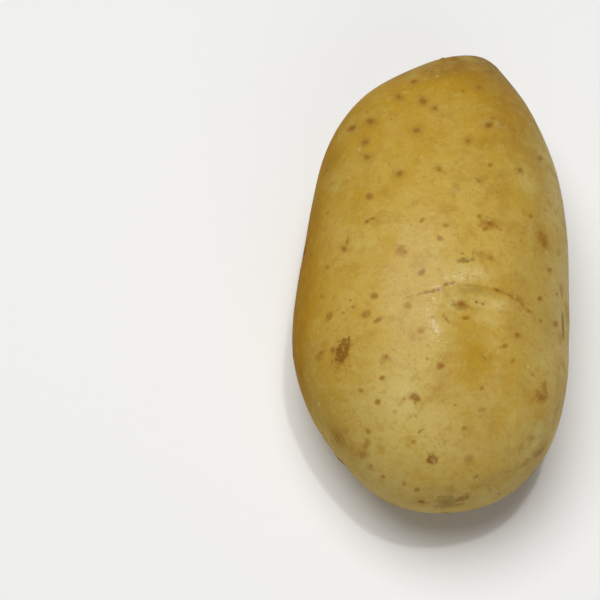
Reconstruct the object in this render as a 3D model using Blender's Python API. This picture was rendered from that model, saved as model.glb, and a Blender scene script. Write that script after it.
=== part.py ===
"""A long-oval table potato, whole and unpeeled, lying on a small flat spot of its underside.

Metres, +Z up. +Y runs along the potato to its stem end, where it hung from the plant, and
the bud end faces -Y. The origin is the middle of the flat spot that the potato rests on.
"""

import math

import bmesh
import bpy
import numpy as np
from mathutils import Vector

MM = 0.001
NAME = "potato"

# All sizes below are millimetres, and all angles are degrees.
LENGTH = 113.5

# The body's lines, read at the STATIONS along its length, which run from the bud end at
# -1 to the stem end at +1. CENTRE is how far right the middle of a section lies, and TOP
# and BOTTOM are reaches from the long axis. MIDDLE is where station 0 stands in each.
STATIONS = (-1.0, -0.7, -0.35, 0.0, 0.35, 0.7, 1.0)
HALF_WIDTH = (40.0, 36.0, 33.5, 31.0, 31.0, 31.0, 27.0)
CENTRE = (1.0, 1.5, -0.5, 0.0, 0.5, 1.0, 9.5)
TOP = (33.0, 29.5, 28.0, 28.0, 28.0, 28.5, 31.0)
BOTTOM = (30.0, 27.0, 25.0, 24.5, 24.5, 26.0, 30.0)
MIDDLE = 3

# A section is a little fuller than an ellipse between its top, bottom and sides.
FULLNESS = 0.05

# Low swells and dents of the grown body: station, angle around, height and radius. The
# angle starts at the right side and rises over the top.
SWELLS = (
    (-0.50, 310.0, 0.9, 17.0),
    (0.50, 232.0, -1.0, 15.0),
    (0.32, 335.0, -0.7, 13.0),
    (-0.55, 222.0, 0.8, 15.0),
    (0.75, 300.0, 0.7, 12.0),
    (0.05, 192.0, -0.6, 12.0),
)

# Eyes: station, angle around and width. They wind around the body and crowd at the bud end.
EYES = (
    (-0.31, 75.0, 20.0),
    (0.44, 200.0, 14.0),
    (0.34, 318.0, 15.0),
    (-0.10, 226.0, 14.0),
    (-0.30, 12.0, 9.0),
    (0.76, 262.0, 12.0),
    (-0.52, 282.0, 13.0),
    (-0.68, 338.0, 11.0),
    (-0.80, 204.0, 10.0),
    (-0.94, 284.0, 9.0),
    (-0.98, 80.0, 9.0),
)
EYE_DEPTH = 0.05
EYE_LENGTH = 0.42
BROW_HEIGHT = 0.035
BROW_SETBACK = 0.22
BROW_LENGTH = 0.22
BROW_SWEEP = 0.15

# The scar where the potato broke from its stolon, at the middle of the stem end.
SCAR_RADIUS = 4.0
SCAR_DEPTH = 0.8

# The resting spot: how deep the flat cuts the underside, how gently the skin eases into
# it, and where its middle is, right of and beyond the middle of the long axis.
REST_CUT = 1.0
REST_EASE = 0.4
REST_RIGHT = 0.5
REST_BEYOND = -2.0

SPHERE_LEVEL = 5

SKIN_COLOUR = (0.50, 0.32, 0.085, 1.0)
SKIN_ROUGHNESS = 0.5


def clear_scene():
    """Remove every object that the open file holds."""
    for item in list(bpy.data.objects):
        bpy.data.objects.remove(item, do_unlink=True)


def fair_line(reaches):
    """The smooth curve through one of the body's lines, as a function of the station."""
    return np.polynomial.Polynomial.fit(STATIONS, reaches, len(STATIONS) - 1)


def sphere_point(station, angle):
    """The point of the unit sphere at a station and an angle around the long axis."""
    ring = math.sqrt(1.0 - station**2)
    turn = math.radians(angle)
    return np.array([[ring * math.cos(turn), station, ring * math.sin(turn)]])


def body_points(sphere):
    """Points of the smooth body about the long axis, for points of the unit sphere."""
    side, station, height = sphere.T
    ring = np.maximum(np.hypot(side, height), 1e-9)
    sine = height / ring
    full = 1.0 + FULLNESS * (2.0 * sine * side / ring) ** 2
    top = fair_line(TOP)(station)
    bottom = fair_line(BOTTOM)(station)
    half_height = (top + bottom) / 2.0 + (top - bottom) / 2.0 * sine
    x = fair_line(HALF_WIDTH)(station) * side * full + fair_line(CENTRE)(station)
    z = half_height * height * full
    return np.column_stack([x, LENGTH / 2.0 * station, z])


def outward(sphere):
    """Unit vectors that point out of the body, for points of the unit sphere."""
    normals = sphere / np.array([HALF_WIDTH[MIDDLE], LENGTH / 2.0, TOP[MIDDLE]])
    return normals / np.linalg.norm(normals, axis=1)[:, None]


def bump(distance, radius):
    """A round-topped bump: 1 at its middle and next to nothing beyond its radius."""
    return np.exp(-3.0 * (distance / radius) ** 2)


def swell_lift(points):
    """How far the low swells and dents lift each point."""
    lift = np.zeros(len(points))
    for station, angle, height, radius in SWELLS:
        centre = body_points(sphere_point(station, angle))
        lift += height * bump(np.linalg.norm(points - centre, axis=1), radius)
    return lift


def eye_lift(points, station, angle, width):
    """How far one eye lifts each point: a hollow at the bud, and its brow behind it."""
    sphere = sphere_point(station, angle)
    normal = outward(sphere)[0]
    across = np.cross(normal, (0.0, 1.0, 0.0))
    across /= np.linalg.norm(across)
    offset = (points - body_points(sphere)) / width
    sideways = 2.0 * offset @ across
    behind = offset @ np.cross(across, normal)
    hollow = bump(np.hypot(sideways, behind / EYE_LENGTH), 1.2)
    arc = behind - BROW_SETBACK + BROW_SWEEP * sideways**2
    brow = bump(np.hypot(sideways, arc / BROW_LENGTH), 1.25)
    near = bump(offset @ normal, 1.0)
    return near * width * (BROW_HEIGHT * brow - EYE_DEPTH * hollow)


def scar_lift(points):
    """How far the stem scar lifts each point: a shallow dish with a small stub in it."""
    centre = body_points(sphere_point(1.0, 0.0))
    distance = np.linalg.norm(points - centre, axis=1)
    return SCAR_DEPTH * (1.6 * bump(distance, SCAR_RADIUS) - bump(distance, 2.0 * SCAR_RADIUS))


def settle(heights):
    """Heights above the resting plane, eased so that the flat spot has no hard rim."""
    above = heights + BOTTOM[MIDDLE] - REST_CUT
    eased = (above + REST_EASE) ** 2 / (4.0 * REST_EASE)
    return np.where(above > REST_EASE, above, np.where(above < -REST_EASE, 0.0, eased))


def potato_points(sphere):
    """Points of the finished potato, for points of the unit sphere."""
    body = body_points(sphere)
    lift = swell_lift(body) + scar_lift(body)
    for station, angle, width in EYES:
        lift += eye_lift(body, station, angle, width)
    points = body + outward(sphere) * lift[:, None]
    points[:, 2] = settle(points[:, 2])
    return points - np.array([REST_RIGHT, REST_BEYOND, 0.0])


def skin_material():
    """Thin yellow-brown skin with a dull gloss."""
    material = bpy.data.materials.new("potato_skin")
    material.use_nodes = True
    shader = material.node_tree.nodes["Principled BSDF"]
    shader.inputs["Base Color"].default_value = SKIN_COLOUR
    shader.inputs["Roughness"].default_value = SKIN_ROUGHNESS
    shader.inputs["Metallic"].default_value = 0.0
    return material


def make_potato(collection):
    """Model the potato from a sphere and put it in the collection."""
    cage = bmesh.new()
    bmesh.ops.create_icosphere(cage, subdivisions=SPHERE_LEVEL, radius=1.0)
    sphere = np.array([vertex.co for vertex in cage.verts])
    sphere /= np.linalg.norm(sphere, axis=1)[:, None]
    for vertex, point in zip(cage.verts, potato_points(sphere)):
        vertex.co = Vector(point * MM)
    mesh = bpy.data.meshes.new(NAME)
    cage.to_mesh(mesh)
    cage.free()
    mesh.shade_smooth()
    mesh.materials.append(skin_material())
    potato = bpy.data.objects.new(NAME, mesh)
    collection.objects.link(potato)
    return potato


def main():
    """Build the potato in its own collection."""
    clear_scene()
    collection = bpy.data.collections.new("potato_model")
    bpy.context.scene.collection.children.link(collection)
    make_potato(collection)


main()
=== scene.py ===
"""The looks of a long-oval table potato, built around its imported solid.

A fine skin is wrapped on the solid and gets its brows, pores, scabs and stem scar as real
relief, and one procedural material colours it. A name that ends in _mm is in millimetres and
one that ends in _px is in pixels of the 600 by 600 view. All else is in metres, in the row's
frame, where +Y runs along the potato to its stem end and +Z is up.
"""

import logging
import math
from dataclasses import dataclass, field
from enum import Enum
from typing import Optional, Sequence

import bmesh
import bpy
import numpy as np
from mathutils import Matrix, Vector, noise
from mathutils.bvhtree import BVHTree
from mathutils.kdtree import KDTree


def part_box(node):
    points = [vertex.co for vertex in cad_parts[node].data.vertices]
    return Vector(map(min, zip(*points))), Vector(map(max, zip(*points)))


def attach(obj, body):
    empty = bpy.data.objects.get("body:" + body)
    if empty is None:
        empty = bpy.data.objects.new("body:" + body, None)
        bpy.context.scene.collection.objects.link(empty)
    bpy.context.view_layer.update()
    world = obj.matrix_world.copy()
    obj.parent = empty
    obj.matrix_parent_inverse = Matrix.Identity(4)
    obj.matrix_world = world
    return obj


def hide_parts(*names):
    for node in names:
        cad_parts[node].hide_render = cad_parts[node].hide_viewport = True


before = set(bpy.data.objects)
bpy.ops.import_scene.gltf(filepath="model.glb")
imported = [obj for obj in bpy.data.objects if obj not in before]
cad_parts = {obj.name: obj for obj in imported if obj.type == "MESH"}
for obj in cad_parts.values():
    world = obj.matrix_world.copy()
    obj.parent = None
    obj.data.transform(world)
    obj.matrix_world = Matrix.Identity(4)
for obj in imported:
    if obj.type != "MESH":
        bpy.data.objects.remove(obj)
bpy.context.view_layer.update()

LOG = logging.getLogger("potato")
NODE = "potato"
BODY = "root"
MM = 0.001
VIEW_PX = 600
SENSOR_MM = 36.0

# What a pigment's shape reads where none of its marks is near.
FAR = -2.0

# How strong the finer layers of blotchy noise are.
BLOTCHY = 0.6

# The mix node's inputs for a share and two colours, and its output for their mix.
MIX_SHARE, MIX_UNDER, MIX_OVER = 0, 6, 7
MIX_RESULT = 2

Array = np.ndarray
Socket = bpy.types.NodeSocket
Colour = tuple[float, float, float]
Span = tuple[float, float]

# A surface point and the unit vector out of it.
Spot = tuple[Array, Array]


def unit(vector: Array) -> Array:
    """The vector, or each row of a table of vectors, at length 1."""
    return vector / np.linalg.norm(vector, axis=-1, keepdims=True)


def ease(value: Array) -> Array:
    """A smooth step from 0 to 1 as value goes from 0 to 1."""
    held = np.clip(value, 0.0, 1.0)
    return held * held * (3.0 - 2.0 * held)


class Pigment(Enum):
    """What a mark on the skin is made of; a few pale and orange-brown marks round the main brow are painted
    light and shade instead.
    """

    BLUSH_AND_SHADE = "blush"
    PALE_AND_LIT = "pale"
    TAN = "tan"
    OLIVE = "olive"
    SMUDGE = "smudge"
    PORE = "pore"
    SCAB = "scab"
    CRACK = "crack"
    FLAKE = "flake"


@dataclass(frozen=True)
class Stain:
    """How one pigment looks.

    Args:
        colour: its linear colour towards its edge.
        core: its linear colour inside.
        cover: how much of the skin's colour it hides at its strongest.
        soft: how wide its edge fades, as a share of the mark.
        ragged: how far noise pushes its edge in and out, as a share of the mark.
        grain_mm: the size of that noise.
        relief_mm: how far it lifts the skin, or sinks it where negative.
        deep: whether it lies in the ground colour, under the mottling.
    """

    colour: Colour
    core: Colour
    cover: float
    soft: float
    ragged: float
    grain_mm: float
    relief_mm: float = 0.0
    deep: bool = False


STAINS: dict[Pigment, Stain] = {
    # The orange-brown marks are mostly the skin's own colour; their band under the main brow's lip is
    # painted shade.
    Pigment.BLUSH_AND_SHADE: Stain((0.43, 0.25, 0.016), (0.40, 0.23, 0.005), 0.9, 0.8, 0.3, 4.0, deep=True),
    # The pale marks are partly paler skin and partly painted light, on the lit places on and under the main
    # brow's lip.
    Pigment.PALE_AND_LIT: Stain((0.56, 0.43, 0.13), (0.63, 0.49, 0.18), 0.8, 0.9, 0.35, 4.5, deep=True),
    Pigment.TAN: Stain((0.34, 0.19, 0.024), (0.29, 0.145, 0.012), 0.8, 0.9, 0.6, 2.5, deep=True),
    Pigment.OLIVE: Stain((0.26, 0.17, 0.028), (0.17, 0.11, 0.018), 0.85, 0.6, 0.8, 1.2),
    Pigment.SMUDGE: Stain((0.33, 0.155, 0.014), (0.25, 0.105, 0.008), 0.75, 0.8, 0.8, 1.1),
    Pigment.PORE: Stain((0.31, 0.135, 0.014), (0.20, 0.07, 0.007), 0.85, 0.65, 0.45, 0.8, -0.04),
    Pigment.SCAB: Stain((0.18, 0.07, 0.006), (0.35, 0.175, 0.030), 0.8, 0.6, 1.0, 0.9, 0.05),
    Pigment.CRACK: Stain((0.31, 0.150, 0.006), (0.21, 0.085, 0.004), 0.90, 0.7, 0.4, 0.9),
    Pigment.FLAKE: Stain((0.60, 0.46, 0.18), (0.68, 0.56, 0.30), 0.6, 0.8, 0.7, 0.5, 0.03),
}


@dataclass(frozen=True)
class Lens:
    """The camera: where it stands, what it looks at and how large it shows it.

    Args:
        elevation: its height over the horizon, in degrees.
        azimuth: how far it stands round from the bud end towards the right, in degrees.
        distance_mm: from the potato's middle.
        mm_per_px: the size of one pixel at that distance.
        aside_mm: how far left of the potato's middle its axis passes.
        below_mm: how far below the middle, as seen, its axis passes.
        middle_mm: the potato's middle.
        blind: the distance within which the camera sees nothing, in metres.
    """

    elevation: float = 66.0
    azimuth: float = 2.5
    distance_mm: float = 450.0
    mm_per_px: float = 0.232
    aside_mm: float = 31.0
    below_mm: float = 5.7
    middle_mm: tuple[float, float, float] = (-0.5, 2.0, 23.5)
    blind: float = 0.01

    def axes(self) -> tuple[Array, Array, Array]:
        """The view's own directions.

        Returns:
            Unit vectors to its right, up, and back towards the camera.
        """
        height, turn = math.radians(self.elevation), math.radians(self.azimuth)
        level = math.cos(height)
        back = np.array([math.sin(turn) * level, -math.cos(turn) * level, math.sin(height)])
        right = np.array([math.cos(turn), math.sin(turn), 0.0])
        return right, np.cross(back, right), back

    def position(self) -> Array:
        """Where the camera stands.

        Returns:
            The place, in metres.
        """
        right, up, back = self.axes()
        aim = np.array(self.middle_mm) - right * self.aside_mm - up * self.below_mm
        return (aim + back * self.distance_mm) * MM

    def ray(self, across_px: float, down_px: float) -> Array:
        """The unit vector from the camera through a pixel of the view.

        Args:
            across_px: the pixel's place from the view's left edge.
            down_px: the pixel's place from the view's top edge.

        Returns:
            The ray's direction.
        """
        right, up, back = self.axes()
        middle = VIEW_PX / 2.0
        per_px = self.mm_per_px / self.distance_mm
        return unit(right * (across_px - middle) * per_px - up * (down_px - middle) * per_px - back)

    def make_camera(self) -> bpy.types.Object:
        """Put the camera in the scene.

        Returns:
            The camera's object.
        """
        data = bpy.data.cameras.new("camera")
        data.sensor_width = SENSOR_MM
        data.lens = SENSOR_MM * self.distance_mm / (self.mm_per_px * VIEW_PX)
        data.clip_start = self.blind
        right, up, back = self.axes()
        camera = bpy.data.objects.new("camera", data)
        bpy.context.scene.collection.objects.link(camera)
        camera.matrix_world = Matrix.Translation(Vector(self.position())) @ Matrix(
            np.column_stack([right, up, back]).tolist()
        ).to_4x4()
        bpy.context.scene.camera = camera
        return camera


@dataclass(frozen=True)
class Mark:
    """One mark, laid on the skin.

    Args:
        pigment: what it is made of.
        centre: its middle, on the skin.
        normal: the skin's outward direction there.
        forth: the direction of its longer way, as long as one over half its length.
        aside: the direction of its shorter way, as long as one over half its width.
        tone: how strong it is, from 0 to 1.
    """

    pigment: Pigment
    centre: Array
    normal: Array
    forth: Array
    aside: Array
    tone: float

    def size(self) -> float:
        """Its larger size on the skin."""
        return 2.0 / np.linalg.svd(np.array([self.forth, self.aside]), compute_uv=False)[-1]

    def shape(self, points: Array) -> Array:
        """How deep inside the mark each point is: 1 at its middle, 0 at its edge.

        Args:
            points: places on the skin.

        Returns:
            One value for each point.
        """
        offset = points - self.centre
        through = offset @ self.normal / self.size()
        return 1.0 - np.sqrt((offset @ self.forth) ** 2 + (offset @ self.aside) ** 2 + through**2)


class Solid:
    """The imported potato, as something to lay points and marks on."""

    # How far out the rays that wrap it start, over its half sizes.
    outside: float = 2.0

    def __init__(self, node: str) -> None:
        """Read the CAD node's faces.

        Args:
            node: its name.
        """
        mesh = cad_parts[node].data
        corners = [vertex.co.copy() for vertex in mesh.vertices]
        self.tree = BVHTree.FromPolygons(corners, [tuple(face.vertices) for face in mesh.polygons])
        low, high = (np.array(corner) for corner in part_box(node))
        self.middle = (low + high) / 2.0
        self.half = (high - low) / 2.0

    def wrap(self, sphere: Array) -> Array:
        """Points of the solid's surface for points of the unit sphere.

        Args:
            sphere: points of the unit sphere.

        Returns:
            The places where rays towards the middle meet the solid.
        """
        start = self.middle + self.outside * self.half * sphere
        inward = unit(-self.half * sphere)
        hits = (
            self.tree.ray_cast(Vector(place), Vector(way))[0]
            for place, way in zip(start, inward)
        )
        return np.array([tuple(hit) for hit in hits])

    def nearest(self, point: Array) -> Spot:
        """The surface point nearest to a point, and its outward direction.

        Args:
            point: any place.

        Returns:
            The surface point and the unit vector out of it.
        """
        place, normal, _, _ = self.tree.find_nearest(Vector(point))
        return np.array(place), np.array(normal)

    def seen(self, lens: Lens, across_px: float, down_px: float) -> Optional[Spot]:
        """The surface point that a pixel of the view shows.

        Args:
            lens: the camera.
            across_px: the pixel's place from the left.
            down_px: the pixel's place from the top.

        Returns:
            The point and the direction out of it, or None where the pixel misses.
        """
        way = Vector(lens.ray(across_px, down_px))
        place, normal, _, _ = self.tree.ray_cast(Vector(lens.position()), way)
        return None if place is None else (np.array(place), np.array(normal))


# Pores and spots that the photo shows: across and down in pixels, then their width in mm.
STEM_END_PORES: Sequence[tuple[float, float, float]] = (
    (414, 81, 1.3), (398.5, 97, 1.2), (423, 101, 1.5), (435, 108, 1.2), (370, 121, 1.6),
    (417, 130, 1.4), (365, 142, 1.3), (366.5, 157, 1.4), (439, 169, 1.2), (399.5, 173, 1.5),
    (327, 170, 1.1), (369, 196, 1.8), (479, 87, 1.1), (463, 91, 1.0), (489, 125, 1.6),
    (468, 141, 1.2), (540.5, 158, 1.3), (490, 165, 1.2), (520, 170, 1.1), (479, 181, 0.9),
    (352, 128, 1.6), (367, 112, 0.9), (391, 119, 0.7), (506, 93, 0.8), (431, 71, 0.9),
)
MIDDLE_PORES: Sequence[tuple[float, float, float]] = (
    (422, 220, 1.1), (344, 249, 1.6), (327, 267, 1.1), (422, 272, 1.5), (374, 296, 1.7),
    (322, 296, 0.9), (479.5, 216, 1.2), (446, 225, 1.4), (440, 238, 1.3),
    (458, 234, 0.6), (531, 216, 1.1), (550, 270, 1.1), (540, 299, 1.4), (541, 321, 0.9),
    (557, 294, 0.9), (556, 324, 1.3), (505, 346, 1.1), (310, 256, 0.9), (353, 307, 0.8),
    (350, 300, 0.7), (343, 313, 0.7), (327, 213, 0.7),
    (411, 225, 0.6), (523, 233, 0.7),
)
BUD_END_PORES: Sequence[tuple[float, float, float]] = (
    (382, 378, 1.3), (361, 390.5, 1.1), (377.5, 402, 1.3), (368, 432, 1.2), (383, 477, 1.1),
    (404, 484, 1.1), (417, 490, 1.3), (422, 502, 1.2), (414, 442, 1.0), (427, 359, 0.9),
    (513, 361, 1.1), (482, 388, 1.0), (464, 428, 1.0), (464, 435, 0.7), (489, 470, 0.6),
    (499, 494, 1.1), (490, 490, 0.9), (404, 399, 0.7), (338, 380, 0.8),
    (455, 405, 0.8), (350, 366, 0.7), (306, 389, 0.8), (365, 448, 0.9),
    (371, 466, 0.8), (542, 350, 0.6), (416, 416, 0.7),
)


@dataclass(frozen=True)
class Seen:
    """One larger mark that the photo shows.

    Args:
        across_px: its middle from the view's left edge.
        down_px: its middle from the view's top edge.
        length_mm: its longer size.
        width_mm: its shorter size.
        turn: its longer way, in degrees up from the view's right.
        tone: how strong it is, from 0 to 1.
    """

    across_px: float
    down_px: float
    length_mm: float
    width_mm: float
    turn: float
    tone: float


# The larger marks of each pigment. A row holds the fields of Seen, in their order.
SEEN_MARKS: dict[Pigment, Sequence[tuple[float, ...]]] = {
    Pigment.PALE_AND_LIT: (
        # The pale marks at (474, 272), (480, 301), (497, 304), (487, 306) and (455, 300) are painted light:
        # the lit swell over the main brow's lip and the lit floor of the hollow under it.
        (402, 398, 26, 19, 100, 0.9), (432, 418, 16, 12, 0, 0.5), (474, 272, 12, 5.5, -5, 0.9),
        (480, 301, 12, 4.5, -12, 0.7), (497, 304, 7.5, 5, -20, 1), (487, 306, 8, 5, -10, 0.7),
        (487, 319, 9, 5.5, -10, 0.8), (455, 300, 11, 8, 80, 0.7), (440, 118, 18, 17, 90, 0.3),
        (552, 392, 30, 8, 94, 0.9), (536, 440, 16, 7, 65, 0.8), (528, 180, 12, 7, -70, 0.5),
        (378, 258, 16, 10, 90, 0.35), (367, 361, 14, 10, 0, 0.35), (394, 127, 12, 8, 90, 0.25),
        (537, 392, 20, 8, 90, 0.4),
    ),
    Pigment.TAN: (
        (518, 305, 26, 9, 88, 0.4), (484, 425, 26, 15, 90, 0.25), (343, 440, 15, 8, -50, 0.55),
        (309, 362, 14, 5, 90, 0.4), (503, 383, 10, 8, 0, 0.25), (530, 135, 12, 6, -65, 0.8),
        (440, 66, 24, 6, 0, 0.8), (352, 116, 18, 6, 48, 0.35), (329, 166, 18, 5, 66, 0.5),
        (503, 190, 20, 5, 82, 0.5), (456, 190, 5, 2.6, 60, 0.5), (490, 222, 9, 6, 0, 0.4),
        (514, 118, 30, 16, -62, 0.8), (482, 168, 20, 12, 80, 0.25), (516, 304, 5.5, 3.4, -30, 0.6),
        (484, 256, 6, 4, -20, 0.3), (542, 237, 9, 5, -75, 0.6), (344, 247, 4.5, 3.5, 0, 0.4),
    ),
    Pigment.BLUSH_AND_SHADE: (
        (337, 431, 18, 9, -50, 0.65), (329, 402, 18, 9, -72, 0.7), (338, 188, 14, 9, 70, 0.8),
        (312, 385, 14, 5, -80, 0.8), (473, 356, 20, 14, 80, 0.95), (466, 318, 4, 2.6, 0, 1),
        (485.5, 143, 6.5, 5, 0, 1), (360, 132, 12, 4.5, 45, 0.4), (336, 162, 12, 7, 60, 0.9),
        (345, 215, 9, 4, 90, 0.4), (358, 204, 17, 7, 88, 0.65), (357, 314, 9, 6, 0, 0.4),
        (323, 382, 18, 6, -80, 0.5), (511, 356, 15, 9, 88, 0.5), (475, 470, 17, 7, 0, 0.4),
        (420, 68, 18, 4, 15, 0.5), (480, 80, 16, 6, -10, 0.5), (508, 335, 6, 4, 70, 0.4),
        (322, 358, 8, 6, 60, 0.8), (360, 350, 12, 9, 60, 0.5), (421, 331, 2.6, 2.3, 0, 1),
        (408, 306, 2.6, 2.3, 0, 1),
    ),
    Pigment.SMUDGE: (
        (466, 318.5, 2.2, 1.2, 0, 0.9), (497.5, 125, 3, 2, 0, 0.35), (338, 437, 5.5, 3.6, -55, 0.9),
        (344, 431, 3, 2, -40, 0.5), (352, 449, 2.6, 2, 0, 0.35), (367, 443, 3.2, 2.2, 60, 0.6),
        (361, 455, 4.2, 2.8, 0, 0.75), (370, 468, 2.8, 2, -60, 0.6), (318, 357, 3, 2, 45, 0.6),
        (341, 356, 9, 5, 75, 0.9), (401, 251, 3.6, 3, 0, 0.85), (489.5, 224.5, 5.8, 3.8, -15, 0.8),
        (483, 255, 5, 3.6, -20, 0.4), (415, 397.5, 4.2, 3, -30, 0.8), (432, 460, 3.2, 3, 0, 0.9),
        (469, 460, 2.8, 2.6, 0, 0.75), (541.5, 396.5, 4.4, 3.8, 60, 0.95),
        (544.5, 386, 3.8, 2, 80, 0.95), (544, 240, 6, 2.8, -72, 0.95), (541, 235, 3, 2, 80, 0.8),
        (460, 505, 3, 1.4, 10, 0.8), (532, 439, 4, 3, 0, 0.5), (522, 447, 4, 2.5, 0, 0.4),
        (539, 453, 6, 2.2, 25, 0.9), (527, 462, 5, 1.8, 30, 0.5), (440, 366, 3, 2.3, 0, 0.85),
        (463, 305.5, 5.2, 2.8, -15, 0.75), (497, 290.5, 3.4, 1.5, -18, 0.6),
        (519, 299, 3.6, 1.8, -35, 0.6), (501, 311, 2.6, 1.4, 10, 0.35), (446, 319.5, 2.4, 1, -55, 0.9),
        (421, 331, 2, 1.7, 0, 0.7), (408, 306, 2, 1.7, 0, 0.75), (329, 316, 3.4, 1.6, 65, 0.9),
        (518, 336, 2.4, 2.2, 0, 0.6), (385, 358, 3.2, 2.2, 30, 0.75), (352, 128, 3, 2.2, 20, 0.7),
        (328, 148, 3, 1.6, 10, 0.5), (504, 346, 2.6, 1.4, 15, 0.6), (420.5, 431, 1.9, 0.9, 35, 0.7),
        (483, 409, 2.7, 1.4, 0, 0.7), (465, 429, 2.4, 2, 0, 0.5), (481, 180, 4.4, 3, 0, 0.4),
        (492, 190, 5.4, 3.4, 60, 0.35), (497, 176, 4.4, 2.8, 30, 0.3), (455.5, 188, 3.6, 2.2, -60, 0.35),
        (300, 372, 6, 1.6, -75, 0.6), (311, 254.7, 1.7, 1.4, 0, 0.45), (304, 278, 2.4, 1.3, 85, 0.5),
        (302.5, 329, 2.6, 1.5, 60, 0.5), (322, 297, 1.3, 1.1, 0, 0.4), (334.3, 296, 1.8, 0.8, 80, 0.35),
        (491.5, 258.5, 2.4, 1.3, 60, 0.6), (521.5, 241, 1.6, 1.2, 0, 0.35), (561.5, 291, 5, 2, 88, 0.5),
        (440, 385, 10, 5, 60, 0.3), (489, 480, 12, 3, 30, 0.35),
    ),
    Pigment.OLIVE: (
        (464, 260.5, 3.4, 1.5, 8, 1), (473, 259, 1.2, 1, 0, 0.8), (563, 322, 7, 1.2, 92, 0.7),
        (446, 503, 6, 4, 0, 0.8), (460, 305.5, 4.8, 2.4, -5, 0.5), (433.5, 317.4, 1.6, 0.8, 0, 0.5),
        (395, 412, 1.6, 1.2, 0, 0.35), (503, 124, 1.8, 1.2, 0, 0.5), (533, 375, 2, 0.7, -55, 0.5),
        (556.5, 229, 2, 1.1, 80, 0.35), (558, 254, 1.8, 1.1, 85, 0.3),
    ),
    Pigment.PORE: (
        (332, 350, 1.8, 1.2, 80, 0.9), (321, 353, 2, 1.1, 45, 0.8), (398.5, 249.7, 1.3, 1, 20, 0.6),
        (402, 249.5, 1, 0.9, 0, 0.4), (405, 251.5, 1.5, 1.2, -30, 0.5), (490, 223.2, 2.6, 1.2, -25, 0.95),
        (485.5, 228.5, 2, 1.4, 30, 0.75), (497, 226, 1.9, 0.8, -40, 0.55), (501, 229, 1.3, 0.8, -60, 0.5),
        (482, 252, 1, 0.8, 0, 0.45), (490, 257.5, 1.8, 1.2, -30, 0.55), (494, 260, 1.1, 0.8, 0, 0.4),
        (462, 253, 1.5, 0.8, -15, 0.8), (541, 397.5, 1.8, 1.4, 30, 0.6), (441, 366, 2.1, 1.5, -20, 1),
        (461.7, 304, 2.3, 1.5, -10, 1), (476.7, 301.7, 1.15, 1, 0, 1), (483.3, 303.8, 1, 0.85, 0, 0.8),
        (496.8, 290.4, 2.1, 0.9, -22, 1), (446, 319.5, 1.4, 0.6, -55, 0.6), (330, 318, 1.4, 0.9, 65, 0.6),
        (366, 314, 2.7, 2, 30, 0.8), (377.5, 320.5, 2.9, 1.1, 32, 0.85), (367, 221.5, 1.7, 1.2, 40, 0.9),
        (372.5, 218.5, 1.9, 0.9, 0, 0.8), (347, 241.5, 2.4, 0.8, 75, 0.7), (517.5, 335, 1.6, 1.4, 0, 0.75),
        (386, 357, 1.2, 0.8, -30, 0.6), (484.5, 358, 2.2, 0.8, -55, 0.75), (493.5, 118.5, 1.4, 1, -40, 0.6),
    ),
    Pigment.SCAB: (
        (343, 350, 6.5, 3, 72, 1), (347, 342, 2.2, 1.4, 60, 1), (415, 397, 2.6, 1.7, -30, 0.65),
        (432, 460, 2.6, 2.4, -20, 0.9), (463, 498, 3.2, 1.8, 20, 0.8), (476, 477, 1.8, 0.9, 35, 0.65),
        (421, 502, 2, 0.8, 10, 0.7),
    ),
    Pigment.CRACK: ((563.5, 329, 7, 1.1, 92, 0.9),),
    Pigment.FLAKE: (
        (497, 123.5, 1.6, 1, 0, 0.5), (488.5, 220, 1.3, 0.7, 0, 0.5), (469, 259, 0.8, 0.7, 0, 0.6),
        (467, 459, 1.2, 0.8, 60, 0.5), (434, 461, 1.1, 0.9, 60, 0.55), (546.5, 252, 1, 0.9, 0, 0.9),
        (515, 297, 1, 0.7, -35, 0.4), (367, 314, 0.8, 0.7, 0, 0.5), (498, 126, 2.4, 1.7, 0, 0.25),
        (437, 76, 1.4, 0.9, 20, 0.6), (359.5, 149, 1.8, 0.9, 70, 0.6), (457, 192, 3, 1.7, -65, 0.35),
        (319, 404, 1.5, 1, 50, 0.7), (308, 380, 1.2, 0.8, 40, 0.4), (528, 367, 0.9, 0.9, 0, 0.8),
        (349, 178, 2.6, 0.8, -60, 0.35), (360, 212.5, 2.2, 1.5, 60, 0.3),
    ),
}


@dataclass(frozen=True)
class Stroke:
    """A thin line that the photo shows, drawn through pixels of the view.

    Args:
        pigment: what it is made of.
        path_px: the pixels that it runs through.
        width_mm: its width.
        tone: how strong it is, from 0 to 1.
    """

    pigment: Pigment
    path_px: Sequence[tuple[float, float]]
    width_mm: float
    tone: float


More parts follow.
